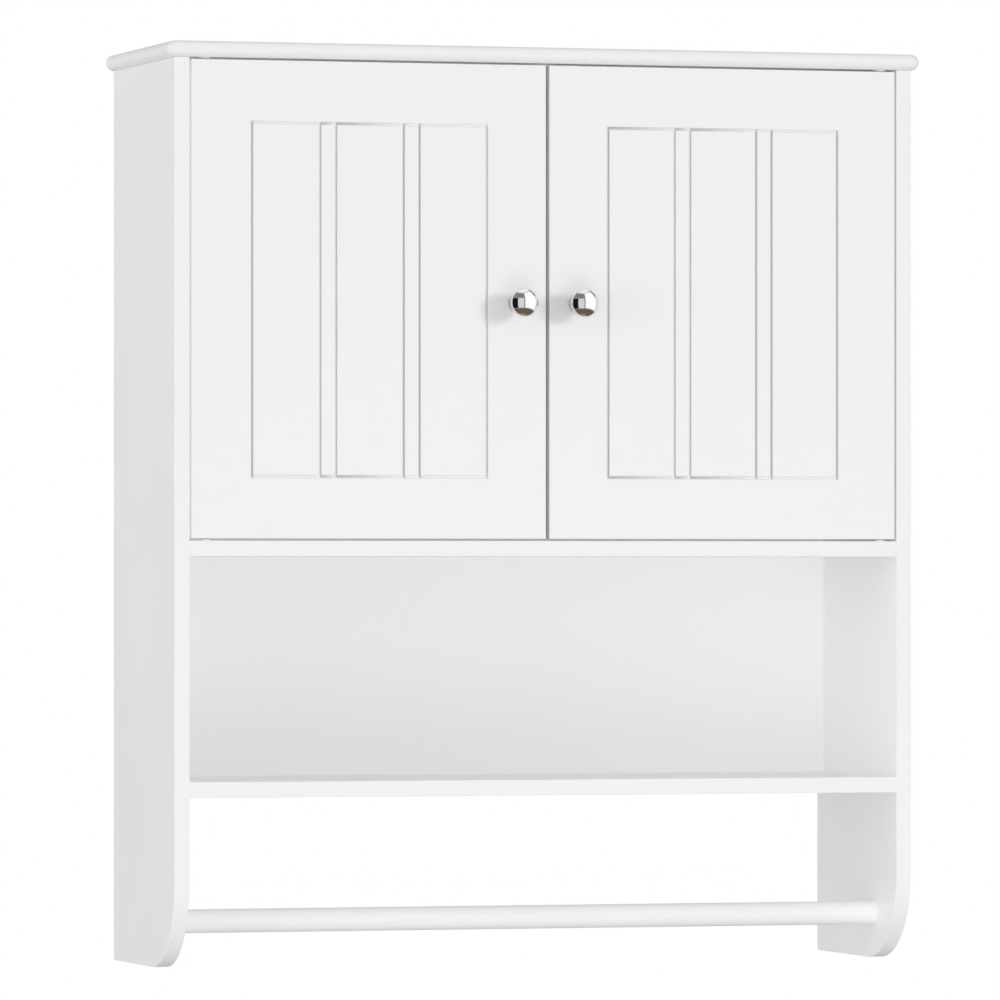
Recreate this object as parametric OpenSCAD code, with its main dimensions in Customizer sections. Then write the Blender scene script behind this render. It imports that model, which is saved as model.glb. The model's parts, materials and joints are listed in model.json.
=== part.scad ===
// Hanging wall cabinet: two panelled doors over an open bay and a towel bar.
// X runs along the width, the wall is the plane y = 0 and the doors face -Y, Z is up.
// The origin is on the wall, midway between the two wall screws.

/* [Carcase] */
// Width over the side panels
body_w = 588; // [540:4:700]
// Depth from the wall to the front edges of the side panels
body_d = 187; // [180:1:230]
// Height from the feet of the side panels to the top
total_h = 700; // [680:5:800]
// Thickness of every board
board_t = 12; // [12:0.5:14]
// Overhang of the crown past each side panel
crown_side = 6; // [4:1:14]
// Overhang of the crown past the front edges
crown_front = 8; // [4:1:14]
// Plan radius of the crown's front corners
crown_corner_r = 9; // [8:1:20]
// Radius of the rounded lower front corner of each side panel
foot_r = 68; // [40:1:80]

/* [Levels] */
// Underside of the lower shelf above the feet
lower_shelf_z = 130; // [115:1:150]
// Clear height of the open bay
bay_h = 170; // [150:1:190]

/* [Back] */
// Thickness of the back panel
back_t = 3; // [2.5:0.5:4]
// Gap behind the back panel, which is also the thickness of the rails
rail_t = 12; // [12:1:14]
// Height of the rail that hangs on the wall screws
hanging_rail_h = 70; // [60:5:90]
// Height of the lower rail
lower_rail_h = 50; // [40:5:60]
// Distance between the two wall screws
wall_screw_gap = 400; // [300:10:480]
// Diameter of the wall screw holes
wall_screw_hole = 6; // [5:0.5:8]

/* [Doors] */
// Thickness of a door
door_t = 12; // [12:0.5:14]
// Gap between a door and the boards around it
door_gap = 1.5; // [1.4:0.1:2]
// Gap between the two doors
meeting_gap = 3; // [2:0.5:4]
// Radius of the doors' rounded edges
door_edge_r = 1.5; // [1.2:0.1:2]
// Distance from the door's outer edge to its pivot
pivot_inset = 11; // [10.5:0.5:13]
// Distance from the door's edges to the grooved outline
groove_inset = 47; // [35:1:60]
// Distance between the paired grooves
bead_w = 12.5; // [10:0.5:16]
// Width of a V groove
groove_w = 2.4; // [1.6:0.2:3.2]

/* [Knobs] */
// Diameter of a knob's head
knob_d = 22.5; // [20:0.5:28]
// Distance from the knob's centre to the door's meeting edge
knob_edge = 22.5; // [20:0.5:40]
// How far the knobs sit below the doors' mid height
knob_drop = 1; // [0:1:60]

/* [Shelf and towel bar] */
// Number of heights for the loose shelf
pin_rows = 3; // [3,5]
// Distance between those heights
pin_step = 40; // [32:4:48]
// Depth of the loose shelf
loose_shelf_d = 149; // [120:1:149]
// Diameter of the towel bar
bar_d = 18; // [16:1:22]
// Height of the bar's centre above the feet
bar_z = 35; // [30:1:45]
// Distance of the bar's centre behind the front edges
bar_setback = 54; // [50:1:70]

/* [Hidden] */
$fn = 64;

LEFT = -1;
RIGHT = 1;
// A cut starts or ends this far outside the solid
over = 1;
// Play between a fastener and its hole, on the diameter
play = 0.1;

half_w = body_w / 2;
inner_half = half_w - board_t;
panel_h = total_h - board_t;
middle_shelf_z = lower_shelf_z + board_t + bay_h;
cupboard_z = middle_shelf_z + board_t;
cupboard_h = panel_h - cupboard_z;
back_y = rail_t + back_t;
screw_z = panel_h - hanging_rail_h / 2;

door_w = inner_half - door_gap - meeting_gap / 2;
door_h = cupboard_h - 2 * door_gap;
door_z = cupboard_z + door_gap;
door_back_y = body_d - door_t;
pivot_x = inner_half - door_gap - pivot_inset;
pivot_y = body_d - door_t / 2;
knob_x = meeting_gap / 2 + knob_edge;
knob_z = door_z + door_h / 2 - knob_drop;

// Lying grooves of the doors: extra width, and how far they run past the corners
cross_extra = 0.2;
cross_lap = 0.8;

// Back panel groove
groove_play = 0.2;
back_groove_d = 4;
back_in_groove = 3.5;

// Cam joints: one bolt and one dowel near the front, one of each near the back
bolt_d = 5;
bolt_in_panel = 9;
bolt_reach = 24;
bolt_head_d = 6.5;
bolt_head_t = 3;
bolt_neck_d = 3.5;
bolt_neck_l = 5;
bolt_channel_d = 7;
cam_d = 12;
cam_h = 9;
cam_slot_w = 1;
cam_slot_l = 6;
cam_slot_d = 1;
bolt_back = 40;
bolt_front = body_d - 42;
dowel_d = 6;
dowel_l = 24;
dowel_in_panel = 8;
dowel_back = 62;
dowel_front = body_d - 64;
rail_dowel_gap = 26;

// Loose shelf pins
pin_d = 5;
pin_in_panel = 7.5;
pin_out = 8;
pin_collar_d = 7;
pin_collar_t = 0.5;
pin_back = 35;
pin_front = body_d - 50;
pin_mid_z = cupboard_z + cupboard_h / 2;
loose_shelf_play = 0.8;
loose_shelf_back = back_y + 0.5;

// Towel bar socket
bar_socket = 8;
bar_end_play = 0.5;

// Door pivots
pin_hole_d = 4.08;
pivot_pin_d = 4;
pivot_in_door = 16;
pivot_pin_in_door = 15;
pivot_in_bush = 8;
bush_bore_l = 8.5;
bush_d = 8;
bush_l = 9;
bush_flange_d = 9.6;
bush_flange_t = 1;

// Knob screw
knob_screw_d = 4;
knob_screw_in_knob = 9;
knob_bore_l = 10;
knob_bore_d = 4.3;
screw_head_d = 8;
screw_head_t = 2.4;

// Magnetic catch under the top board, and the steel plates that it holds
catch_w = 56;
catch_d = 14;
catch_h = 13;
catch_air = 0.4;
plate_w = 20;
plate_h = 12;
plate_t = 1;
plate_x = 16;
catch_front = door_back_y - plate_t - catch_air;
plate_z = panel_h - catch_h / 2;
magnet_w = 14;
magnet_d = 4;
magnet_h = 8;
catch_screw_x = 5;
small_screw_d = 3;
small_hole_d = 3.2;
small_head_d = 6;
small_head_t = 2;
catch_screw_in_board = 9;
catch_head_sink = 2.5;
plate_screw_l = 9;
plate_head_d = 5.4;
plate_head_t = 1.4;
back_screw_l = 15;
back_screw_x = [-180, 0, 180];

// Moves a sub-part from the feet's level to the wall screws' level
module placed() {
    translate([0, 0, -screw_z]) children();
}

// A cylinder along X, from the local origin towards +X
module rod_x(d, l) {
    rotate([0, 90, 0]) cylinder(d = d, h = l);
}

// A cylinder along Y, from the local origin towards the front
module rod_front(d, l) {
    rotate([90, 0, 0]) cylinder(d = d, h = l);
}

// A block given by its width about x, its two distances from the wall, and its two heights
module block(x0, x1, back, front, z0, z1) {
    translate([x0, -front, z0]) cube([x1 - x0, front - back, z1 - z0]);
}

// Side panels

module side_outline() {
    translate([-body_d, foot_r]) square([body_d, panel_h - foot_r]);
    translate([foot_r - body_d, 0]) square([body_d - foot_r, foot_r + over]);
    translate([foot_r - body_d, foot_r]) circle(foot_r);
}

// Everything cut into the inner face, for a panel whose inner face is x = 0 and whose wood is x < 0
module side_cuts() {
    // groove for the back panel
    block(-back_groove_d, over, rail_t - groove_play / 2, back_y + groove_play / 2,
        lower_shelf_z, panel_h + over);
    // holes for the shelves' bolts and dowels
    for (z = [lower_shelf_z, middle_shelf_z]) {
        for (y = [bolt_back, bolt_front])
            translate([-bolt_in_panel, -y, z + board_t / 2]) rod_x(bolt_d + play, bolt_in_panel + over);
        for (y = [dowel_back, dowel_front])
            translate([-dowel_in_panel, -y, z + board_t / 2]) rod_x(dowel_d + play, dowel_in_panel + over);
    }
    // holes for the rails' dowels
    for (z = rail_dowel_heights())
        translate([-dowel_in_panel, -rail_t / 2, z]) rod_x(dowel_d + play, dowel_in_panel + over);
    // rows of holes for the loose shelf's pins
    for (y = [pin_back, pin_front], row = [0 : pin_rows - 1])
        translate([-pin_in_panel, -y, pin_mid_z + (row - (pin_rows - 1) / 2) * pin_step])
            rod_x(pin_d + play, pin_in_panel + over);
    // socket for the towel bar
    translate([-bar_socket, bar_setback - body_d, bar_z]) rod_x(bar_d + play, bar_socket + over);
    // pockets and channels for the top board's cams
    for (y = [bolt_back, bolt_front]) {
        translate([-cam_h, -y, panel_h - bolt_reach]) rod_x(cam_d + play, cam_h + over);
        translate([-board_t / 2, -y, panel_h - bolt_reach])
            cylinder(d = bolt_channel_d, h = bolt_reach + over);
    }
    // holes in the top edge for dowels
    for (y = [dowel_back, dowel_front])
        translate([-board_t / 2, -y, panel_h - dowel_l + dowel_in_panel])
            cylinder(d = dowel_d + play, h = dowel_l);
}

function rail_dowel_heights() = [
    for (mid = [screw_z, lower_shelf_z + board_t + lower_rail_h / 2], side = [LEFT, RIGHT])
        mid + side * rail_dowel_gap / 2
];

module side_panel() {
    difference() {
        translate([-board_t, 0, 0]) rotate([90, 0, 90]) linear_extrude(board_t) side_outline();
        side_cuts();
    }
}

module side_panel_left() {
    color("whitesmoke") placed() translate([-inner_half, 0, 0]) side_panel();
}

module side_panel_right() {
    color("whitesmoke") placed() translate([inner_half, 0, 0]) mirror([1, 0, 0]) side_panel();
}

// Top board: a full bullnose runs round the front and both ends

// Section through the edge: a board that reaches from 0 to l and ends in a half round
module nose_section(l) {
    nose = board_t / 2;
    square([l - nose, board_t]);
    intersection() {
        translate([l - nose, nose]) circle(nose);
        translate([l - nose, 0]) square([nose, board_t]);
    }
}

module crown_solid() {
    end = half_w + crown_side - crown_corner_r;
    front = body_d + crown_front;
    translate([-end, 0, 0]) rotate([90, 0, 90]) linear_extrude(2 * end) mirror([1, 0]) nose_section(front);
    for (side = [0, 1])
        mirror([side, 0, 0]) translate([end, 0, 0]) {
            rotate([90, 0, 0]) linear_extrude(front - crown_corner_r) nose_section(crown_corner_r);
            translate([0, crown_corner_r - front, 0]) rotate([0, 0, -90])
                rotate_extrude(angle = 90) nose_section(crown_corner_r);
        }
}

module top_board() {
    color("white") placed() translate([0, 0, panel_h]) difference() {
        crown_solid();
        block(-inner_half - back_groove_d, inner_half + back_groove_d,
            rail_t - groove_play / 2, back_y + groove_play / 2, -over, back_groove_d);
        for (side = [LEFT, RIGHT]) {
            for (y = [bolt_back, bolt_front])
                translate([side * (half_w - board_t / 2), -y, -over])
                    cylinder(d = bolt_d + play, h = bolt_in_panel + over);
            for (y = [dowel_back, dowel_front])
                translate([side * (half_w - board_t / 2), -y, -over])
                    cylinder(d = dowel_d + play, h = dowel_in_panel + over);
            translate([side * pivot_x, -pivot_y, -over]) cylinder(d = bush_d + play, h = bush_l + over);
            translate([side * catch_screw_x, catch_d / 2 - catch_front, -over])
                cylinder(d = small_screw_d + play, h = catch_screw_in_board + over);
        }
    }
}

// Fixed shelves, with a cam pocket in the underside at each bolt

module fixed_shelf() {
    difference() {
        block(-inner_half, inner_half, back_y, body_d, 0, board_t);
        for (side = [LEFT, RIGHT]) {
            for (y = [bolt_back, bolt_front]) {
                translate([side * (inner_half - bolt_reach), -y, -over])
                    cylinder(d = cam_d + play, h = cam_h + over);
                translate([side * (inner_half - bolt_reach / 2), -y, board_t / 2])
                    rotate([0, 90, 0]) cylinder(d = bolt_channel_d, h = bolt_reach + over, center = true);
            }
            for (y = [dowel_back, dowel_front])
                translate([side * inner_half, -y, board_t / 2]) rotate([0, 90, 0])
                    cylinder(d = dowel_d + play, h = 2 * (dowel_l - dowel_in_panel), center = true);
        }
        for (x = back_screw_x)
            translate([x, over - back_y, board_t / 2])
                rod_front(small_screw_d + play, back_screw_l - back_t + over + play);
    }
}

module middle_shelf() {
    color("white") placed() translate([0, 0, middle_shelf_z]) difference() {
        fixed_shelf();
        for (side = [LEFT, RIGHT])
            translate([side * pivot_x, -pivot_y, board_t - bush_l])
                cylinder(d = bush_d + play, h = bush_l + over);
    }
}

module lower_shelf() {
    color("white") placed() translate([0, 0, lower_shelf_z]) fixed_shelf();
}

module loose_shelf() {
    color("white") placed() translate([0, 0, pin_mid_z + pin_d / 2])
        block(-inner_half + loose_shelf_play, inner_half - loose_shelf_play,
            loose_shelf_back, loose_shelf_back + loose_shelf_d, 0, board_t);
}

// Back panel and the rails behind it

module wall_screw_holes() {
    for (side = [LEFT, RIGHT])
        translate([side * wall_screw_gap / 2, over, screw_z]) rod_front(wall_screw_hole, back_y + 2 * over);
}

module back_panel() {
    color("whitesmoke") placed() difference() {
        block(-inner_half - back_in_groove, inner_half + back_in_groove, rail_t, back_y,
            lower_shelf_z, panel_h + back_in_groove);
        wall_screw_holes();
        for (x = back_screw_x, z = [lower_shelf_z, middle_shelf_z])
            translate([x, over - rail_t, z + board_t / 2]) rod_front(small_screw_d + play, back_t + 2 * over);
    }
}

module rail(z, h) {
    difference() {
        block(-inner_half, inner_half, 0, rail_t, z, z + h);
        for (side = [LEFT, RIGHT], end = [LEFT, RIGHT])
            translate([side * inner_half, -rail_t / 2, z + h / 2 + end * rail_dowel_gap / 2])
                rotate([0, 90, 0])
                    cylinder(d = dowel_d + play, h = 2 * (dowel_l - dowel_in_panel), center = true);
    }
}

module hanging_rail() {
    color("whitesmoke") placed() difference() {
        rail(panel_h - hanging_rail_h, hanging_rail_h);
        wall_screw_holes();
    }
}

module lower_rail() {
    color("whitesmoke") placed() rail(lower_shelf_z + board_t, lower_rail_h);
}

// Towel bar, held in a blind socket at each end

module towel_bar() {
    bar_half = inner_half + bar_socket - bar_end_play;
    color("white") placed() translate([-bar_half, bar_setback - body_d, bar_z]) rod_x(bar_d, 2 * bar_half);
}

// Doors

// A rectangle with its corner at the origin and four rounded corners
module rounded_rect(w, h, r) {
    translate([r, 0]) square([w - 2 * r, h]);
    translate([0, r]) square([w, h - 2 * r]);
    for (x = [r, w - r], y = [r, h - r])
        translate([x, y]) circle(r);
}

// Slab with all its long edges rounded, x from 0 to door_w, front face at y = -door_t
module door_slab() {
    intersection() {
        translate([0, -door_t, 0]) linear_extrude(door_h) rounded_rect(door_w, door_t, door_edge_r);
        rotate([90, 0, 90]) translate([-door_t, 0, 0]) linear_extrude(door_w)
            rounded_rect(door_t, door_h, door_edge_r);
    }
}

// V groove standing up, centred on the front face
module groove_up(x, z0, z1) {
    side = groove_w / sqrt(2);
    translate([x, -door_t, z0]) rotate([0, 0, 45])
        translate([-side / 2, -side / 2, 0]) cube([side, side, z1 - z0]);
}

// V groove lying across the front face: a little deeper than the others, and run on past the corners
module groove_across(z, x0, x1) {
    side = (groove_w + cross_extra) / sqrt(2);
    translate([x0 - cross_lap, -door_t, z]) rotate([45, 0, 0])
        translate([0, -side / 2, -side / 2]) cube([x1 - x0 + 2 * cross_lap, side, side]);
}

// Outline of the planked field and the two pairs of grooves that divide it into planks
module door_grooves() {
    x0 = groove_inset;
    x1 = door_w - groove_inset;
    z0 = groove_inset;
    z1 = door_h - groove_inset;
    plank = (x1 - x0 - 2 * bead_w) / 3;
    for (z = [z0, z1]) groove_across(z, x0, x1);
    for (x = [x0, x1]) groove_up(x, z0, z1);
    for (pair = [1, 2], edge = [-1, 0])
        groove_up(x0 + pair * (plank + bead_w) + edge * bead_w, z0, z1);
}

// Door in its own place on the left; the outer edge is at the lower x
module door_at_left() {
    x0 = -meeting_gap / 2 - door_w;
    difference() {
        translate([x0, -door_back_y, door_z]) difference() {
            door_slab();
            door_grooves();
        }
        // pivot pins
        for (z = [door_z - over, door_z + door_h - pivot_in_door])
            translate([-pivot_x, -pivot_y, z]) cylinder(d = pin_hole_d, h = pivot_in_door + over);
        // knob screw, right through
        translate([-knob_x, over - door_back_y, knob_z]) rod_front(knob_bore_d, door_t + 2 * over);
        // strike plate screw
        translate([-plate_x, over - door_back_y, plate_z])
            rod_front(small_hole_d, plate_screw_l - plate_t + over);
        translate([-plate_x, over - door_back_y, plate_z])
            rod_front(plate_head_d + play, plate_head_t - plate_t + over + play);
    }
}

module door_left() {
    color("white") placed() door_at_left();
}

module door_right() {
    color("white") placed() mirror([1, 0, 0]) door_at_left();
}

// Knobs: a foot on the door, a waisted neck and a domed head, turned about the screw

module knob_profile() {
    foot_d = 15;
    foot_t = 2;
    neck_d = 9;
    head_mid = 17;
    dome = 8.5;
    under = 7;
    // foot
    square([foot_d / 2 - foot_t / 2, foot_t]);
    translate([foot_d / 2 - foot_t / 2, foot_t / 2]) circle(d = foot_t);
    // neck
    square([neck_d / 2, head_mid]);
    // head: two half ellipses
    intersection() {
        square([knob_d, head_mid]);
        translate([0, head_mid]) scale([1, 2 * under / knob_d]) circle(d = knob_d);
    }
    intersection() {
        translate([0, head_mid]) square([knob_d, dome]);
        translate([0, head_mid]) scale([1, 2 * dome / knob_d]) circle(d = knob_d);
    }
}

module knob() {
    difference() {
        rotate([90, 0, 0]) rotate_extrude() intersection() {
            knob_profile();
            square([knob_d, 2 * knob_d]);
        }
        translate([0, over, 0]) rod_front(knob_bore_d, knob_bore_l + over);
    }
}

module knob_left() {
    color("silver") placed() translate([-knob_x, -body_d, knob_z]) knob();
}

module knob_right() {
    color("silver") placed() translate([knob_x, -body_d, knob_z]) knob();
}

module knob_screw() {
    rod_front(knob_screw_d, door_t + knob_screw_in_knob);
    translate([0, screw_head_t, 0]) rod_front(screw_head_d, screw_head_t);
}

module knob_screw_left() {
    color("gainsboro") placed() translate([-knob_x, -door_back_y, knob_z]) knob_screw();
}

module knob_screw_right() {
    color("gainsboro") placed() translate([knob_x, -door_back_y, knob_z]) knob_screw();
}

// Pivots: a steel pin in the door's top and bottom edges turns in a plastic bush in the board

module pivot_pins(side) {
    pin_l = pivot_in_bush + door_gap + pivot_pin_in_door;
    placed() for (z = [cupboard_z - pivot_in_bush, door_z + door_h - pivot_pin_in_door])
        translate([side * pivot_x, -pivot_y, z]) cylinder(d = pivot_pin_d, h = pin_l);
}

module pivot_pins_left() {
    color("silver") pivot_pins(LEFT);
}

module pivot_pins_right() {
    color("silver") pivot_pins(RIGHT);
}

// Bush with its flange above z = 0 and its barrel below
module pivot_bush() {
    difference() {
        union() {
            translate([0, 0, -bush_l]) cylinder(d = bush_d, h = bush_l);
            cylinder(d = bush_flange_d, h = bush_flange_t);
        }
        translate([0, 0, -bush_bore_l]) cylinder(d = pin_hole_d, h = bush_bore_l + bush_flange_t + over);
    }
}

module pivot_bushes() {
    color("white") placed() for (side = [LEFT, RIGHT]) {
        translate([side * pivot_x, -pivot_y, cupboard_z]) pivot_bush();
        translate([side * pivot_x, -pivot_y, panel_h]) mirror([0, 0, 1]) pivot_bush();
    }
}

// Magnetic catch

module catch_housing() {
    color("white") placed() difference() {
        block(-catch_w / 2, catch_w / 2, catch_front - catch_d, catch_front, panel_h - catch_h, panel_h);
        for (side = [LEFT, RIGHT]) {
            translate([side * catch_screw_x, catch_d / 2 - catch_front, panel_h - catch_h - over]) {
                cylinder(d = small_hole_d, h = catch_h + 2 * over);
                cylinder(d = small_head_d + 2 * play, h = catch_head_sink + over);
            }
            translate([side * plate_x, 0, 0])
                block(-(magnet_w + play) / 2, (magnet_w + play) / 2, catch_front - magnet_d - play,
                    catch_front + over, plate_z - (magnet_h + play) / 2, plate_z + (magnet_h + play) / 2);
        }
    }
}

module catch_magnets() {
    color("dimgray") placed() for (side = [LEFT, RIGHT])
        translate([side * plate_x, 0, 0])
            block(-magnet_w / 2, magnet_w / 2, catch_front - magnet_d, catch_front,
                plate_z - magnet_h / 2, plate_z + magnet_h / 2);
}

module catch_screws() {
    color("gainsboro") placed() for (side = [LEFT, RIGHT])
        translate([side * catch_screw_x, catch_d / 2 - catch_front, panel_h - catch_h + catch_head_sink]) {
            cylinder(d = small_screw_d, h = catch_h - catch_head_sink + catch_screw_in_board - play);
            translate([0, 0, -small_head_t]) cylinder(d = small_head_d, h = small_head_t);
        }
}

module strike_plate(side) {
    placed() translate([side * plate_x, 0, 0]) difference() {
        block(-plate_w / 2, plate_w / 2, door_back_y - plate_t, door_back_y,
            plate_z - plate_h / 2, plate_z + plate_h / 2);
        translate([0, plate_t + over - door_back_y, plate_z])
            rod_front(plate_head_d + play, plate_t + 2 * over);
    }
}

module strike_screw(side) {
    placed() translate([side * plate_x, plate_t - door_back_y, plate_z]) {
        rod_front(plate_head_d, plate_head_t);
        rod_front(small_screw_d, plate_screw_l - play);
    }
}

module strike_plate_left() {
    color("silver") strike_plate(LEFT);
}

module strike_plate_right() {
    color("silver") strike_plate(RIGHT);
}

module strike_screw_left() {
    color("gainsboro") strike_screw(LEFT);
}

module strike_screw_right() {
    color("gainsboro") strike_screw(RIGHT);
}

// Pins that carry the loose shelf

module shelf_pins() {
    color("silver") placed() for (side = [LEFT, RIGHT], y = [pin_back, pin_front])
        translate([side * inner_half, -y, pin_mid_z]) rotate([0, -90 * side, 0]) {
            translate([0, 0, -pin_in_panel + play]) cylinder(d = pin_d, h = pin_in_panel - play + pin_out);
            cylinder(d = pin_collar_d, h = pin_collar_t);
        }
}

// Cam joint hardware

// Cam disc with its face at z = 0 and its body above, the mouth towards +X
module cam_lock() {
    mouth = bolt_channel_d + play;
    difference() {
        cylinder(d = cam_d, h = cam_h - play);
        translate([-mouth / 2, -mouth / 2, board_t / 2 - mouth / 2]) cube([cam_d, mouth, mouth]);
        translate([-cam_slot_l / 2, -cam_slot_w / 2, -over])
            cube([cam_slot_l, cam_slot_w, cam_slot_d + over]);
    }
}

// Cam bolt along +Z, with the board's face at z = 0: thread below, shank, neck and head above
module cam_bolt() {
    shank = bolt_reach - bolt_neck_l;
    translate([0, 0, play - bolt_in_panel]) cylinder(d = bolt_d, h = bolt_in_panel - play + shank);
    translate([0, 0, shank]) cylinder(d = bolt_neck_d, h = bolt_neck_l);
    translate([0, 0, bolt_reach - bolt_head_t / 2]) cylinder(d = bolt_head_d, h = bolt_head_t);
}

module cam_locks() {
    color("silver") placed() for (side = [LEFT, RIGHT], y = [bolt_back, bolt_front]) {
        for (z = [lower_shelf_z, middle_shelf_z])
            translate([side * (inner_half - bolt_reach), -y, z])
                rotate([0, 0, side == RIGHT ? 0 : 180]) cam_lock();
        translate([side * inner_half, -y, panel_h - bolt_reach])
            rotate([0, 0, side == RIGHT ? 0 : 180]) rotate([0, 90, 0]) rotate([0, 0, 180]) cam_lock();
    }
}

module cam_bolts() {
    color("silver") placed() for (side = [LEFT, RIGHT], y = [bolt_back, bolt_front]) {
        for (z = [lower_shelf_z, middle_shelf_z])
            translate([side * inner_half, -y, z + board_t / 2]) rotate([0, -90 * side, 0]) cam_bolt();
        translate([side * (half_w - board_t / 2), -y, panel_h]) mirror([0, 0, 1]) cam_bolt();
    }
}

// Dowels: two in each shelf end, two on top of each side panel, two in each rail end
module dowels() {
    wood = dowel_l - 2 * play;
    color("burlywood") placed() for (side = [LEFT, RIGHT]) {
        for (y = [dowel_back, dowel_front]) {
            for (z = [lower_shelf_z, middle_shelf_z])
                translate([side * (inner_half + dowel_in_panel - dowel_l / 2), -y, z + board_t / 2])
                    rotate([0, 90, 0]) cylinder(d = dowel_d, h = wood, center = true);
            translate([side * (half_w - board_t / 2), -y, panel_h + dowel_in_panel - dowel_l / 2])
                cylinder(d = dowel_d, h = wood, center = true);
        }
        for (z = rail_dowel_heights())
            translate([side * (inner_half + dowel_in_panel - dowel_l / 2), -rail_t / 2, z])
                rotate([0, 90, 0]) cylinder(d = dowel_d, h = wood, center = true);
    }
}

// Screws through the back panel into the back edges of the fixed shelves
module back_panel_screws() {
    color("gainsboro") placed() for (x = back_screw_x, z = [lower_shelf_z, middle_shelf_z])
        translate([x, -rail_t, z + board_t / 2]) {
            rod_front(small_screw_d, back_screw_l);
            translate([0, small_head_t, 0]) rod_front(small_head_d, small_head_t);
        }
}

side_panel_left();
side_panel_right();
top_board();
middle_shelf();
lower_shelf();
loose_shelf();
back_panel();
hanging_rail();
lower_rail();
towel_bar();
door_left();
door_right();
knob_left();
knob_right();
knob_screw_left();
knob_screw_right();
pivot_pins_left();
pivot_pins_right();
pivot_bushes();
catch_housing();
catch_magnets();
catch_screws();
strike_plate_left();
strike_plate_right();
strike_screw_left();
strike_screw_right();
shelf_pins();
cam_locks();
cam_bolts();
dowels();
back_panel_screws();
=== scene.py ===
import json
import math

import bmesh
import bpy
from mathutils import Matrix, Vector


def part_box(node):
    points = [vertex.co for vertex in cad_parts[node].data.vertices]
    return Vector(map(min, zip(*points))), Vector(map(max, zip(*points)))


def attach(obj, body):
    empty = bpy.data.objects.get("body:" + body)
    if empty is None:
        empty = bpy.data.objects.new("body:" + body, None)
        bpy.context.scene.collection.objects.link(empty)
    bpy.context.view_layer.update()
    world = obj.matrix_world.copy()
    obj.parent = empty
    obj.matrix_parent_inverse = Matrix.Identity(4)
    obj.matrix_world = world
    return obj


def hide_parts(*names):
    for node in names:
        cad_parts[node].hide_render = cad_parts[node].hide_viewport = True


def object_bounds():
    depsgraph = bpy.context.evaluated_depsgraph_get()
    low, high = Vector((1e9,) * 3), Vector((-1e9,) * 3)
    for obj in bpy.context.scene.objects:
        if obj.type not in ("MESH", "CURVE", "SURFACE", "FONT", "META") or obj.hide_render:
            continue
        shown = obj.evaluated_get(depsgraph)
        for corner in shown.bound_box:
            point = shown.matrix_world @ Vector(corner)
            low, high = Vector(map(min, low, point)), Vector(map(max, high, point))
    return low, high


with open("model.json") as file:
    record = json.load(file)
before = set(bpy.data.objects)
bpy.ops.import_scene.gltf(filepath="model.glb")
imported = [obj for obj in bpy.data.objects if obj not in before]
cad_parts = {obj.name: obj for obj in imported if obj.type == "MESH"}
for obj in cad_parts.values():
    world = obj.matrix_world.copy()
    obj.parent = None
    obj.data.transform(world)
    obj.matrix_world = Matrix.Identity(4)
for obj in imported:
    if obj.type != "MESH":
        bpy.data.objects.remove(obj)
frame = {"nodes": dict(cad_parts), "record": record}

nodes = frame["nodes"]
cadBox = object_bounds()
print("frame loaded:", len(nodes), "parts")


# reading places from the frame

def solidBoxes(node):
    # box of each separate solid in a part, so that holes can be cut where the hardware sits
    bm = bmesh.new()
    bm.from_mesh(nodes[node].data)
    bmesh.ops.remove_doubles(bm, verts=bm.verts, dist=1e-6)
    left = set(bm.verts)
    boxes = []
    while left:
        group = [left.pop()]
        for vert in group:
            for edge in vert.link_edges:
                other = edge.other_vert(vert)
                if other in left:
                    left.remove(other)
                    group.append(other)
        low = Vector([min(v.co[k] for v in group) for k in range(3)])
        high = Vector([max(v.co[k] for v in group) for k in range(3)])
        boxes.append((low, high))
    bm.free()
    return sorted(boxes, key=lambda b: tuple(b[0]))


def midOf(box):
    return (box[0] + box[1]) / 2


# shared shader groups

def newGroup(name, inputs, outputs):
    tree = bpy.data.node_groups.new(name, "ShaderNodeTree")
    for label, kind, value in inputs:
        socket = tree.interface.new_socket(name=label, in_out="INPUT", socket_type=kind)
        socket.default_value = value
    for label, kind in outputs:
        tree.interface.new_socket(name=label, in_out="OUTPUT", socket_type=kind)
    return tree, tree.nodes.new("NodeGroupInput"), tree.nodes.new("NodeGroupOutput")


def addNode(tree, kind, **values):
    node = tree.nodes.new(kind)
    for key, value in values.items():
        if hasattr(node, key):
            setattr(node, key, value)
        else:
            node.inputs[key.replace("_", " ")].default_value = value
    return node


skinBalance = {"coarseScale": 0.35, "nibShare": 0.5, "nibCore": 0.02, "nibEdge": 0.07}


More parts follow.
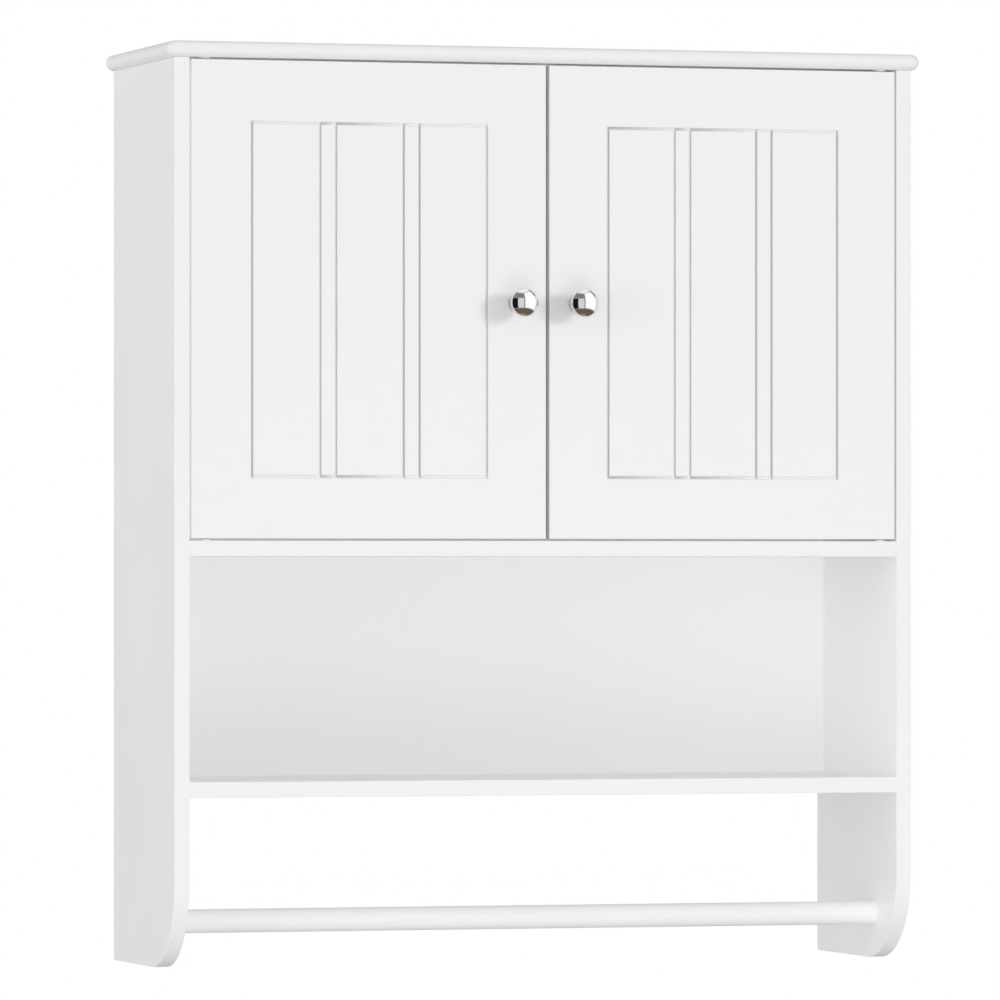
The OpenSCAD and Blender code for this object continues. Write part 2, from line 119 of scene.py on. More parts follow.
def makePaintSkin():
    # lacquer laid on with a roller: fine ripple, broad cloudiness, a few nibs
    tree, ins, outs = newGroup(
        "paintSkin",
        [("Ripple Scale", "NodeSocketFloat", 700.0), ("Cloud Scale", "NodeSocketFloat", 9.0),
         ("Nib Scale", "NodeSocketFloat", 160.0)],
        [("Ripple", "NodeSocketFloat"), ("Cloud", "NodeSocketFloat")],
    )
    link = tree.links.new
    coord = addNode(tree, "ShaderNodeTexCoord")
    fine = addNode(tree, "ShaderNodeTexNoise", Detail=3.0, Roughness=0.55)
    coarse = addNode(tree, "ShaderNodeTexNoise", Detail=2.0, Roughness=0.5)
    wider = addNode(tree, "ShaderNodeMath", operation="MULTIPLY")
    wider.inputs[1].default_value = skinBalance["coarseScale"]
    nibs = addNode(tree, "ShaderNodeTexVoronoi", Randomness=1.0)
    nibMask = addNode(tree, "ShaderNodeMapRange", From_Min=skinBalance["nibCore"],
                      From_Max=skinBalance["nibEdge"], To_Min=1.0, To_Max=0.0)
    ripple = addNode(tree, "ShaderNodeMath", operation="ADD")
    total = addNode(tree, "ShaderNodeMath", operation="MULTIPLY_ADD")
    total.inputs[1].default_value = skinBalance["nibShare"]
    cloud = addNode(tree, "ShaderNodeTexNoise", Detail=4.0, Roughness=0.6)
    for texture in (fine, coarse, nibs, cloud):
        link(coord.outputs["Object"], texture.inputs["Vector"])
    link(ins.outputs["Ripple Scale"], fine.inputs["Scale"])
    link(ins.outputs["Ripple Scale"], wider.inputs[0])
    link(wider.outputs[0], coarse.inputs["Scale"])
    link(ins.outputs["Nib Scale"], nibs.inputs["Scale"])
    link(ins.outputs["Cloud Scale"], cloud.inputs["Scale"])
    link(nibs.outputs["Distance"], nibMask.inputs["Value"])
    link(fine.outputs[0], ripple.inputs[0])
    link(coarse.outputs[0], ripple.inputs[1])
    link(nibMask.outputs[0], total.inputs[0])
    link(ripple.outputs[0], total.inputs[2])
    link(total.outputs[0], outs.inputs["Ripple"])
    link(cloud.outputs[0], outs.inputs["Cloud"])
    return tree


def makeMetalGrain():
    # rubbed metal: hairlines along one axis, and patches where the plate is duller
    tree, ins, outs = newGroup(
        "metalGrain",
        [("Hairline Scale", "NodeSocketFloat", 900.0),
         ("Stretch", "NodeSocketVector", (1.0, 1.0, 0.05)),
         ("Patch Scale", "NodeSocketFloat", 120.0)],
        [("Hairlines", "NodeSocketFloat"), ("Patches", "NodeSocketFloat")],
    )
    link = tree.links.new
    coord = addNode(tree, "ShaderNodeTexCoord")
    stretch = addNode(tree, "ShaderNodeVectorMath", operation="MULTIPLY")
    lines = addNode(tree, "ShaderNodeTexNoise", Detail=4.0, Roughness=0.65)
    patches = addNode(tree, "ShaderNodeTexVoronoi", feature="SMOOTH_F1", Randomness=1.0)
    link(coord.outputs["Object"], stretch.inputs[0])
    link(ins.outputs["Stretch"], stretch.inputs[1])
    link(stretch.outputs[0], lines.inputs["Vector"])
    link(ins.outputs["Hairline Scale"], lines.inputs["Scale"])
    link(coord.outputs["Object"], patches.inputs["Vector"])
    link(ins.outputs["Patch Scale"], patches.inputs["Scale"])
    link(lines.outputs[0], outs.inputs["Hairlines"])
    link(patches.outputs["Distance"], outs.inputs["Patches"])
    return tree


def makeWoodGrain():
    # turned beech: long streaks along the dowel and short dark flecks
    tree, ins, outs = newGroup(
        "woodGrain",
        [("Streak Scale", "NodeSocketFloat", 900.0),
         ("Stretch", "NodeSocketVector", (0.08, 1.0, 1.0))],
        [("Streaks", "NodeSocketFloat"), ("Flecks", "NodeSocketFloat")],
    )
    link = tree.links.new
    coord = addNode(tree, "ShaderNodeTexCoord")
    stretch = addNode(tree, "ShaderNodeVectorMath", operation="MULTIPLY")
    streaks = addNode(tree, "ShaderNodeTexNoise", Detail=5.0, Roughness=0.6, Distortion=0.4)
    flecks = addNode(tree, "ShaderNodeTexVoronoi", Randomness=1.0, Scale=1600.0)
    mask = addNode(tree, "ShaderNodeMapRange", From_Min=0.05, From_Max=0.25, To_Min=1.0, To_Max=0.0)
    link(coord.outputs["Object"], stretch.inputs[0])
    link(ins.outputs["Stretch"], stretch.inputs[1])
    link(stretch.outputs[0], streaks.inputs["Vector"])
    link(stretch.outputs[0], flecks.inputs["Vector"])
    link(ins.outputs["Streak Scale"], streaks.inputs["Scale"])
    link(flecks.outputs["Distance"], mask.inputs["Value"])
    link(streaks.outputs[0], outs.inputs["Streaks"])
    link(mask.outputs[0], outs.inputs["Flecks"])
    return tree


paintSkin = makePaintSkin()
metalGrain = makeMetalGrain()
woodGrain = makeWoodGrain()
print("shader groups made")


# finishes

def grey(value):
    return (value, value, value, 1.0)


def startFinish(name, group, groupValues):
    material = bpy.data.materials.new(name)
    material.use_nodes = True
    tree = material.node_tree
    shader = tree.nodes["Principled BSDF"]
    place = tree.nodes.new("ShaderNodeGroup")
    place.node_tree = group
    for key, value in groupValues.items():
        place.inputs[key].default_value = value
    return material, tree, shader, place


def blendColour(tree, factor, first, second):
    mix = tree.nodes.new("ShaderNodeMix")
    mix.data_type = "RGBA"
    mix.inputs["A"].default_value = first
    mix.inputs["B"].default_value = second
    tree.links.new(factor, mix.inputs["Factor"])
    return mix.outputs["Result"]


def layOver(tree, below, mask, colour):
    mix = tree.nodes.new("ShaderNodeMix")
    mix.data_type = "RGBA"
    tree.links.new(mask, mix.inputs["Factor"])
    if isinstance(below, tuple):
        mix.inputs["A"].default_value = below
    else:
        tree.links.new(below, mix.inputs["A"])
    mix.inputs["B"].default_value = colour
    return mix.outputs["Result"]


def spread(tree, factor, ends, start=0.3, end=0.7):
    rng = tree.nodes.new("ShaderNodeMapRange")
    rng.inputs["From Min"].default_value = start
    rng.inputs["From Max"].default_value = end
    rng.inputs["To Min"].default_value = ends[0]
    rng.inputs["To Max"].default_value = ends[1]
    tree.links.new(factor, rng.inputs["Value"])
    return rng.outputs["Result"]


def addBump(tree, shader, height, strength, depth):
    bump = tree.nodes.new("ShaderNodeBump")
    bump.inputs["Strength"].default_value = strength
    bump.inputs["Distance"].default_value = depth
    tree.links.new(height, bump.inputs["Height"])
    tree.links.new(bump.outputs["Normal"], shader.inputs["Normal"])


def paintGrooveShade(tree, colour, tone):
    # painted shade: darkens the door grooves with a grey tone, most on the flank turned away from the
    # key light
    depth = addNode(tree, "ShaderNodeAttribute", attribute_name="grooveShade")
    return layOver(tree, colour, depth.outputs["Fac"], tone)


def paintFinish(name, look):
    material, tree, shader, skin = startFinish(name, paintSkin, {
        "Ripple Scale": look["rippleScale"],
        "Cloud Scale": look["cloudScale"],
        "Nib Scale": look["nibScale"],
    })
    colour = blendColour(tree, skin.outputs["Cloud"], look["shade"], look["tint"])
    # painted shade in the door grooves, read from the grooveShade attribute
    if "grooveShadeTone" in look:
        colour = paintGrooveShade(tree, colour, look["grooveShadeTone"])
    tree.links.new(colour, shader.inputs["Base Color"])
    rough = spread(tree, skin.outputs["Cloud"], look["roughness"])
    tree.links.new(rough, shader.inputs["Roughness"])
    shader.inputs["IOR"].default_value = look["ior"]
    addBump(tree, shader, skin.outputs["Ripple"], look["rippleStrength"], look["rippleDepth"])
    return material


def metalFinish(name, look):
    material, tree, shader, grain = startFinish(name, metalGrain, {
        "Hairline Scale": look["hairlineScale"],
        "Stretch": look["stretch"],
        "Patch Scale": look["patchScale"],
    })
    shader.inputs["Metallic"].default_value = look["metallic"]
    colour = blendColour(tree, grain.outputs["Patches"], look["bright"], look["dull"])
    tree.links.new(colour, shader.inputs["Base Color"])
    rough = spread(tree, grain.outputs["Hairlines"], look["roughness"])
    tree.links.new(rough, shader.inputs["Roughness"])
    addBump(tree, shader, grain.outputs["Hairlines"], look["hairlineStrength"], look["hairlineDepth"])
    return material


boardPaint = {
    # grooveShadeTone is the grey of the painted shade laid into the door grooves
    "shade": grey(0.895), "tint": grey(0.91), "grooveShadeTone": grey(0.55),
    "roughness": (0.38, 0.47), "ior": 1.45,
    "rippleScale": 700.0, "cloudScale": 9.0, "nibScale": 160.0,
    "rippleStrength": 0.10, "rippleDepth": 0.0002,
}
backLaminate = {
    "shade": grey(0.895), "tint": grey(0.905), "roughness": (0.46, 0.55), "ior": 1.45,
    "rippleScale": 1100.0, "cloudScale": 5.0, "nibScale": 220.0,
    "rippleStrength": 0.07, "rippleDepth": 0.0002,
}
nylon = {
    "shade": grey(0.80), "tint": grey(0.86), "roughness": (0.44, 0.53), "ior": 1.53,
    "rippleScale": 2400.0, "cloudScale": 60.0, "nibScale": 600.0,
    "rippleStrength": 0.12, "rippleDepth": 0.0001,
}
knobChrome = {
    "bright": grey(0.86), "dull": grey(0.78), "metallic": 1.0, "roughness": (0.03, 0.055),
    "hairlineScale": 1500.0, "stretch": (1.0, 1.0, 1.0), "patchScale": 260.0,
    "hairlineStrength": 0.02, "hairlineDepth": 0.00005,
}
zincPlate = {
    "bright": (0.72, 0.73, 0.75, 1.0), "dull": (0.55, 0.56, 0.58, 1.0),
    "metallic": 1.0, "roughness": (0.22, 0.4),
    "hairlineScale": 1400.0, "stretch": (1.0, 1.0, 0.15), "patchScale": 400.0,
    "hairlineStrength": 0.12, "hairlineDepth": 0.00005,
}
castZinc = {
    "bright": (0.58, 0.59, 0.60, 1.0), "dull": (0.42, 0.43, 0.44, 1.0),
    "metallic": 1.0, "roughness": (0.38, 0.6),
    "hairlineScale": 2200.0, "stretch": (1.0, 1.0, 1.0), "patchScale": 700.0,
    "hairlineStrength": 0.3, "hairlineDepth": 0.0001,
}
ferrite = {
    "bright": (0.10, 0.10, 0.105, 1.0), "dull": (0.05, 0.05, 0.052, 1.0),
    "metallic": 0.0, "roughness": (0.55, 0.75),
    "hairlineScale": 2600.0, "stretch": (1.0, 1.0, 1.0), "patchScale": 900.0,
    "hairlineStrength": 0.3, "hairlineDepth": 0.0001,
}
beech = {
    "light": (0.62, 0.44, 0.26, 1.0), "dark": (0.42, 0.27, 0.14, 1.0),
    "fleck": (0.25, 0.14, 0.07, 1.0),
    "streakScale": 900.0, "roughness": (0.54, 0.70), "streakStrength": 0.3, "streakDepth": 0.0001,
}


def woodFinish(name, look):
    material, tree, shader, grain = startFinish(name, woodGrain, {"Streak Scale": look["streakScale"]})
    colour = blendColour(tree, grain.outputs["Streaks"], look["light"], look["dark"])
    colour = layOver(tree, colour, grain.outputs["Flecks"], look["fleck"])
    tree.links.new(colour, shader.inputs["Base Color"])
    rough = spread(tree, grain.outputs["Streaks"], look["roughness"])
    tree.links.new(rough, shader.inputs["Roughness"])
    addBump(tree, shader, grain.outputs["Streaks"], look["streakStrength"], look["streakDepth"])
    return material


finishes = {
    "painted_board": paintFinish("satinWhitePaint", boardPaint),
    "painted_back": paintFinish("whiteLaminate", backLaminate),
    "white_plastic": paintFinish("whiteNylon", nylon),
    "polished_chrome": metalFinish("polishedChrome", knobChrome),
    "zinc_steel": metalFinish("zincPlatedSteel", zincPlate),
    "cam_zinc": metalFinish("castZinc", castZinc),
    "magnet": metalFinish("darkFerrite", ferrite),
    "dowel_wood": woodFinish("turnedBeech", beech),
}
print("finishes made:", len(finishes))


# making and placing pieces

def finishPiece(name, mesh, body, slot, replaced, softAngle=35.0):
    piece = bpy.data.objects.new(name, mesh)
    bpy.context.scene.collection.objects.link(piece)
    mesh.shade_smooth()
    mesh.set_sharp_from_angle(angle=math.radians(softAngle))
    mesh.materials.clear()
    mesh.materials.append(finishes[slot])
    flat = piece.modifiers.new("keepFacesFlat", "WEIGHTED_NORMAL")
    flat.keep_sharp = True
    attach(piece, body)
    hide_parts(replaced)
    return piece


def meshFrom(bm, name):
    bmesh.ops.recalc_face_normals(bm, faces=bm.faces)
    mesh = bpy.data.meshes.new(name)
    bm.to_mesh(mesh)
    bm.free()
    return mesh


def addBlock(bm, low, high):
    made = bmesh.ops.create_cube(bm, size=1.0)["verts"]
    for vert in made:
        vert.co = Vector([low[k] if vert.co[k] < 0 else high[k] for k in range(3)])
    return made


def easeEdges(bm, radius, steps, sharperThan=40.0):
    limit = math.radians(sharperThan)
    edges = [e for e in bm.edges if len(e.link_faces) == 2 and e.calc_face_angle() > limit]
    bmesh.ops.bevel(bm, geom=edges, offset=radius, offset_type="OFFSET", segments=steps, profile=0.5,
                    affect="EDGES", clamp_overlap=True)


def ringAt(bm, centre, axis, radius, sides):
    first, second = Vector((0, 0, 0)), Vector((0, 0, 0))
    first[(axis + 1) % 3] = radius
    second[(axis + 2) % 3] = radius
    turns = [2 * math.pi * k / sides for k in range(sides)]
    return [bm.verts.new(Vector(centre) + first * math.cos(t) + second * math.sin(t)) for t in turns]


def joinRings(bm, rings):
    # a ring of one point closes the shape to a tip
    for a, b in zip(rings, rings[1:]):
        count = max(len(a), len(b))
        for k in range(count):
            n = (k + 1) % count
            if len(a) == 1:
                bm.faces.new((a[0], b[k], b[n]))
            elif len(b) == 1:
                bm.faces.new((a[k], b[0], a[n]))
            else:
                bm.faces.new((a[k], a[n], b[n], b[k]))


def addRod(bm, start, axis, length, diameter, sides=48):
    # a round cutter from a point along one axis
    end = Vector(start)
    end[axis] += length
    rings = [ringAt(bm, centre, axis, diameter / 2, sides) for centre in (start, end)]
    joinRings(bm, rings)
    bm.faces.new(rings[0])
    bm.faces.new(rings[1])


def cutAway(mesh, cutter, name):
    # takes the cutter's holes out of a board
    board = bpy.data.objects.new("blank", mesh)
    tool = bpy.data.objects.new("cutter", meshFrom(cutter, "cutter"))
    for thing in (board, tool):
        bpy.context.scene.collection.objects.link(thing)
    cut = board.modifiers.new("cut", "BOOLEAN")
    cut.operation = "DIFFERENCE"
    cut.solver = "EXACT"
    cut.use_self = True
    cut.object = tool
    bpy.context.view_layer.update()
    done = bpy.data.meshes.new_from_object(board.evaluated_get(bpy.context.evaluated_depsgraph_get()))
    done.name = name
    for thing in (board, tool):
        old = thing.data
        bpy.data.objects.remove(thing)
        bpy.data.meshes.remove(old)
    return done


def overlaps(box, low, high):
    return all(box[0][k] < high[k] and box[1][k] > low[k] for k in range(3))


over = 0.001  # a cutter starts this far outside the wood
holes = {"camPlay": 0.0001, "bushHole": 0.0081}
camBoxes = solidBoxes("cam_locks")
pinBoxes = solidBoxes("shelf_pins")
bushBoxes = solidBoxes("pivot_bushes")


# side panels

sidePanel = {"footRadius": 0.068, "footSteps": 40, "easedEdge": 0.0007, "easeSteps": 3,
             "pinHole": 0.0051, "pinHoleDepth": 0.0075, "pinStep": 0.040}


def makeSidePanel(name, side):
    low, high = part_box(name)
    radius = sidePanel["footRadius"]
    outline = [(high.y, low.z), (high.y, high.z), (low.y, high.z)]
    for k in range(sidePanel["footSteps"] + 1):
        turn = math.pi + math.pi / 2 * k / sidePanel["footSteps"]
        outline.append((low.y + radius * (1 + math.cos(turn)), low.z + radius * (1 + math.sin(turn))))
    bm = bmesh.new()
    face = bm.faces.new([bm.verts.new((low.x, y, z)) for y, z in outline])
    pushed = bmesh.ops.extrude_face_region(bm, geom=[face])["geom"]
    bmesh.ops.translate(bm, vec=(high.x - low.x, 0, 0),
                        verts=[g for g in pushed if isinstance(g, bmesh.types.BMVert)])
    bmesh.ops.recalc_face_normals(bm, faces=bm.faces)
    easeEdges(bm, sidePanel["easedEdge"], sidePanel["easeSteps"])
    inner = low.x if side > 0 else high.x
    cutter = bmesh.new()
    pinHeight = midOf(pinBoxes[0]).z
    depth = sidePanel["pinHoleDepth"]
    start = inner - over if side > 0 else inner - depth
    for y in sorted({round(midOf(b).y, 4) for b in pinBoxes}):
        for row in (-1, 0, 1):
            z = pinHeight + row * sidePanel["pinStep"]
            addRod(cutter, (start, y, z), 0, depth + over, sidePanel["pinHole"])
    for cam in camBoxes:
        if overlaps(cam, low, high):
            middle = midOf(cam)
            start = cam[0].x - (over if side > 0 else 0)
            addRod(cutter, (start, middle.y, middle.z), 0, cam[1].x - cam[0].x + over,
                   cam[1].y - cam[0].y + holes["camPlay"])
    mesh = cutAway(meshFrom(bm, name), cutter, name + "Mesh")
    return finishPiece(name + "_painted", mesh, "carcase", "painted_board", name)


makeSidePanel("side_panel_left", -1)
makeSidePanel("side_panel_right", 1)
print("side panels made")


# top board: a half round runs along both ends and the front

topBoard = {"cornerRadius": 0.009, "cornerSteps": 14, "noseSteps": 18}


def makeTopBoard():
    low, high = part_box("top_board")
    nose = (high.z - low.z) / 2
    corner = topBoard["cornerRadius"]
    middle = (low.z + high.z) / 2
    # path of the outer edge seen from above, with its outward direction
    path = [(Vector((low.x, high.y)), Vector((-1, 0)))]
    for centreX, first in ((low.x + corner, math.pi), (high.x - corner, 1.5 * math.pi)):
        for k in range(topBoard["cornerSteps"] + 1):
            turn = first + math.pi / 2 * k / topBoard["cornerSteps"]
            out = Vector((math.cos(turn), math.sin(turn)))
            path.append((Vector((centreX, low.y + corner)) + out * corner, out))
    path.append((Vector((high.x, high.y)), Vector((1, 0))))
    bm = bmesh.new()
    rings = []
    for point, out in path:
        ring = []
        for k in range(topBoard["noseSteps"] + 1):
            turn = math.pi / 2 - math.pi * k / topBoard["noseSteps"]
            spot = point - out * nose * (1 - math.cos(turn))
            ring.append(bm.verts.new((spot.x, spot.y, middle + nose * math.sin(turn))))
        rings.append(ring)
    for a, b in zip(rings, rings[1:]):
        for k in range(len(a) - 1):
            bm.faces.new((a[k], a[k + 1], b[k + 1], b[k]))
    bm.faces.new([ring[0] for ring in rings])
    bm.faces.new([ring[-1] for ring in reversed(rings)])
    bm.faces.new(rings[0] + rings[-1][::-1])
    cutter = bmesh.new()
    for bush in bushBoxes:
        if overlaps(bush, low, high):
            mid = midOf(bush)
            depth = bush[1].z - low.z + over
            addRod(cutter, (mid.x, mid.y, low.z - over), 2, depth, holes["bushHole"])
    mesh = cutAway(meshFrom(bm, "crown"), cutter, "topBoardMesh")
    return finishPiece("top_board_painted", mesh, "carcase", "painted_board", "top_board")


makeTopBoard()
print("top board made")


# shelves, back panel and rails

shelf = {"easedEdge": 0.0006, "easeSteps": 3}
thinBoard = {"easedEdge": 0.0003, "easeSteps": 2, "screwHole": 0.006}


def makeShelf(name):
    low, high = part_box(name)
    bm = bmesh.new()
    addBlock(bm, low, high)
    easeEdges(bm, shelf["easedEdge"], shelf["easeSteps"])
    cutter = bmesh.new()
    for cam in camBoxes:
        if overlaps(cam, low, high):
            mid = midOf(cam)
            depth, width = cam[1].z - low.z + over, cam[1].y - cam[0].y + holes["camPlay"]
            addRod(cutter, (mid.x, mid.y, low.z - over), 2, depth, width)
    for bush in bushBoxes:
        if overlaps(bush, low, high):
            mid = midOf(bush)
            depth = high.z - bush[0].z + over
            addRod(cutter, (mid.x, mid.y, bush[0].z), 2, depth, holes["bushHole"])
    mesh = meshFrom(bm, name)
    if len(cutter.faces):
        mesh = cutAway(mesh, cutter, name + "Mesh")
    return finishPiece(name + "_painted", mesh, "carcase", "painted_board", name)


def makeThinBoard(name, slot, places):
    low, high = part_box(name)
    bm = bmesh.new()
    addBlock(bm, low, high)
    easeEdges(bm, thinBoard["easedEdge"], thinBoard["easeSteps"])
    mesh = meshFrom(bm, name)
    if places:
        cutter = bmesh.new()
        for x, z in places:
            addRod(cutter, (x, low.y - over, z), 1, high.y - low.y + 2 * over, thinBoard["screwHole"])
        mesh = cutAway(mesh, cutter, name + "Mesh")
    return finishPiece(name + "_finished", mesh, "carcase", slot, name)


for shelfName in ("middle_shelf", "lower_shelf", "loose_shelf"):
    makeShelf(shelfName)
wallScrews = next(m for m in frame["record"]["mounts"] if m["name"] == "wall_screws")
halfSpacing = wallScrews["dims"]["spacing_x_mm"] / 2000
wallHoles = [(wallScrews["pos_m"][0] + side * halfSpacing, wallScrews["pos_m"][2]) for side in (-1, 1)]
makeThinBoard("back_panel", "painted_back", wallHoles)
makeThinBoard("hanging_rail", "painted_board", wallHoles)
makeThinBoard("lower_rail", "painted_board", [])
print("shelves, back panel and rails made")


# towel bar

towelBar = {"sides": 96, "chamfer": 0.0015, "lengths": 24}


def makeTowelBar():
    low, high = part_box("towel_bar")
    radius = (high.z - low.z) / 2
    y, z = (low.y + high.y) / 2, (low.z + high.z) / 2
    chamfer = towelBar["chamfer"]
    stations = [(low.x, radius - chamfer), (low.x + chamfer, radius)]
    straight = high.x - low.x - 2 * chamfer
    for k in range(1, towelBar["lengths"]):
        stations.append((low.x + chamfer + straight * k / towelBar["lengths"], radius))
    stations += [(high.x - chamfer, radius), (high.x, radius - chamfer)]
    bm = bmesh.new()
    rings = [ringAt(bm, (x, y, z), 0, r, towelBar["sides"]) for x, r in stations]
    joinRings(bm, rings)
    bm.faces.new(rings[0])
    bm.faces.new(rings[-1])
    mesh = meshFrom(bm, "towelBar")
    return finishPiece("towel_bar_painted", mesh, "carcase", "painted_board", "towel_bar")


makeTowelBar()
print("towel bar made")


# doors: a routed outline and paired grooves divide the field into planks

door = {"grooveInset": 0.047, "beadWidth": 0.0125, "grooveWidth": 0.0024, "grooveDepth": 0.0015,
        "grooveSlope": 2.2, "lipRound": 0.0004, "shadeLying": 0.12, "shadeRight": 1.0, "shadeLeft": 0.0,
        "easedEdge": 0.0015, "easeSteps": 5, "pinHole": 0.00408}


def grooveDepthAt(distance):
    # steep flanks with rounded lips and a narrow flat bottom
    half = door["grooveWidth"] / 2
    lip = door["lipRound"]
    if distance >= half + lip:
        return 0.0
    slope = door["grooveSlope"]
    if distance > half - lip:
        t = (half + lip - distance) / (2 * lip)
        return slope * lip * t * t
    return min(slope * (half - distance), door["grooveDepth"])


def shadeGrooves(mesh, low, width, height, upright):
    # painted shade: marks how dark each point of a groove is painted, full on the flank turned away
    # from the key light and faint in the lying grooves, for the finish to read
    reach = door["grooveWidth"] / 2 + door["lipRound"]
    shade = mesh.attributes.new("grooveShade", "FLOAT", "POINT")
    for vert, spot in zip(mesh.vertices, shade.data):
        x, depth, z = vert.co - low
        inField = min(x, z, width - x, height - z) > door["grooveInset"] / 2
        if not inField or depth > 2 * door["grooveDepth"]:
            continue
        offset = x - min(upright, key=lambda c: abs(x - c))
        if abs(offset) > reach:
            share = door["shadeLying"]
        else:
            share = door["shadeRight"] if offset > 0 else door["shadeLeft"]
        spot.value = share * min(1.0, depth / door["grooveDepth"])


def makeDoor(name, body, side):
    low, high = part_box(name)
    width, height = high.x - low.x, high.z - low.z
    inset = door["grooveInset"]
    plank = (width - 2 * inset - 2 * door["beadWidth"]) / 3
    first = inset + plank
    second = first + door["beadWidth"] + plank
    bead = door["beadWidth"]
    upright = [inset, first, first + bead, second, second + bead, width - inset]
    across = [inset, height - inset]
    half, lip = door["grooveWidth"] / 2, door["lipRound"]
    flat = half - door["grooveDepth"] / door["grooveSlope"]
    reach = [0.0, flat, half - lip, half - lip / 3, half + lip / 3, half + lip]
    offsets = sorted({s * r for r in reach for s in (-1, 1)})
    edge = door["easedEdge"]

    def lines(centres, length):
        spots = [0.0, edge * 2, length - edge * 2, length]
        spots += [c + o for c in centres for o in offsets]
        return sorted({round(spot, 7) for spot in spots})

    def depthAt(x, z):
        deepest = 0.0
        for c in upright:
            deepest = max(deepest, grooveDepthAt(max(abs(x - c), across[0] - z, z - across[1])))
        for c in across:
            deepest = max(deepest, grooveDepthAt(max(abs(z - c), upright[0] - x, x - upright[-1])))
        return deepest

    xs, zs = lines(upright, width), lines(across, height)
    bm = bmesh.new()
    front = [[bm.verts.new((low.x + x, low.y + depthAt(x, z), low.z + z)) for z in zs] for x in xs]
    lastX, lastZ = len(xs) - 1, len(zs) - 1
    back = {(i, j): bm.verts.new((low.x + xs[i], high.y, low.z + zs[j]))
            for i in range(lastX + 1) for j in range(lastZ + 1) if i in (0, lastX) or j in (0, lastZ)}
    for i in range(lastX):
        for j in range(lastZ):
            quad = [front[i][j], front[i + 1][j], front[i + 1][j + 1], front[i][j + 1]]
            deep = [v.co.y for v in quad]
            if max(deep) - min(deep) < 1e-7 or abs(deep[0] + deep[2] - deep[1] - deep[3]) < 1e-8:
                bm.faces.new(quad)
            elif abs(deep[0] - deep[2]) > abs(deep[1] - deep[3]):  # fold on the mitre
                bm.faces.new((quad[0], quad[1], quad[2]))
                bm.faces.new((quad[0], quad[2], quad[3]))
            else:
                bm.faces.new((quad[1], quad[2], quad[3]))
                bm.faces.new((quad[1], quad[3], quad[0]))
    for i in range(lastX):
        for j in (0, lastZ):
            bm.faces.new((front[i][j], front[i + 1][j], back[i + 1, j], back[i, j]))
    for j in range(lastZ):
        for i in (0, lastX):
            bm.faces.new((front[i][j], front[i][j + 1], back[i, j + 1], back[i, j]))
    rim = [(i, 0) for i in range(lastX + 1)] + [(lastX, j) for j in range(1, lastZ + 1)]
    rim += [(i, lastZ) for i in range(lastX - 1, -1, -1)] + [(0, j) for j in range(lastZ - 1, 0, -1)]
    bm.faces.new([back[spot] for spot in rim])
    bmesh.ops.recalc_face_normals(bm, faces=bm.faces)
    easeEdges(bm, edge, door["easeSteps"], sharperThan=80.0)
    cutter = bmesh.new()
    for pin in solidBoxes("pivot_pins_left" if side < 0 else "pivot_pins_right"):
        mid = midOf(pin)
        bottom = mid.z < (low.z + high.z) / 2
        start = low.z - over if bottom else pin[0].z
        length = pin[1].z - low.z + over if bottom else high.z - pin[0].z + over
        addRod(cutter, (mid.x, mid.y, start), 2, length, door["pinHole"])
    mesh = cutAway(meshFrom(bm, name), cutter, name + "Mesh")
    shadeGrooves(mesh, low, width, height, upright)
    return finishPiece(name + "_painted", mesh, body, "painted_board", name, softAngle=25.0)


doors = [makeDoor("door_left", "left_door", -1), makeDoor("door_right", "right_door", 1)]
print("doors made")


# knobs

knob = {"sides": 96, "footWidth": 0.015, "footHeight": 0.002, "neckWidth": 0.009, "height": 0.0255,
        "capShare": 0.9, "capTilt": 46.0, "under": 0.0086, "fillet": 0.0012, "filletLead": 1.4,
        "joinShare": 0.6, "bendOut": 0.18, "bendDown": 0.4,
        "footSteps": 12, "filletSteps": 6, "underSteps": 24, "rimSteps": 10, "capSteps": 24}


def turnsOf(start, end, steps):
    return [start + (end - start) * k / steps for k in range(steps + 1)]


def knobOutline(width):
    # radius and height above the door, from the foot's underside to the crown of the dome
    quarter = math.pi / 2
    foot, neck, half = knob["footWidth"] / 2, knob["neckWidth"] / 2, width / 2
    under, fillet, rim = knob["under"], knob["fillet"], knob["footHeight"] / 2
    tilt, capEdge = math.radians(knob["capTilt"]), half * knob["capShare"]
    capRound, rimRound = capEdge / math.sin(tilt), (half - capEdge) / (1 - math.sin(tilt))
    widest = knob["height"] - capRound * (1 - math.cos(tilt)) - rimRound * math.cos(tilt)
    points = [(0.0, 0.0), (foot / 2, 0.0)]
    for turn in turnsOf(-quarter, quarter, knob["footSteps"]):
        points.append((foot - rim + rim * math.cos(turn), rim + rim * math.sin(turn)))
    points.append((neck + fillet * knob["filletLead"], 2 * rim))
    for turn in turnsOf(0.0, quarter, knob["filletSteps"]):
        points.append((neck + fillet * (1 - math.sin(turn)), 2 * rim + fillet * (1 - math.cos(turn))))
    join = math.asin(min(1.0, (neck + fillet * knob["joinShare"]) / half))
    meet = widest - under * math.cos(join)
    points += [(neck, meet - fillet),
               (neck + fillet * knob["bendOut"], meet - fillet * knob["bendDown"])]
    for turn in turnsOf(join, quarter, knob["underSteps"]):
        points.append((half * math.sin(turn), widest - under * math.cos(turn)))
    for turn in turnsOf(quarter, tilt, knob["rimSteps"])[1:]:
        points.append((half - rimRound + rimRound * math.sin(turn), widest + rimRound * math.cos(turn)))
    for turn in turnsOf(tilt, 0.0, knob["capSteps"])[1:]:
        points.append((capRound * math.sin(turn), knob["height"] - capRound * (1 - math.cos(turn))))
    return points


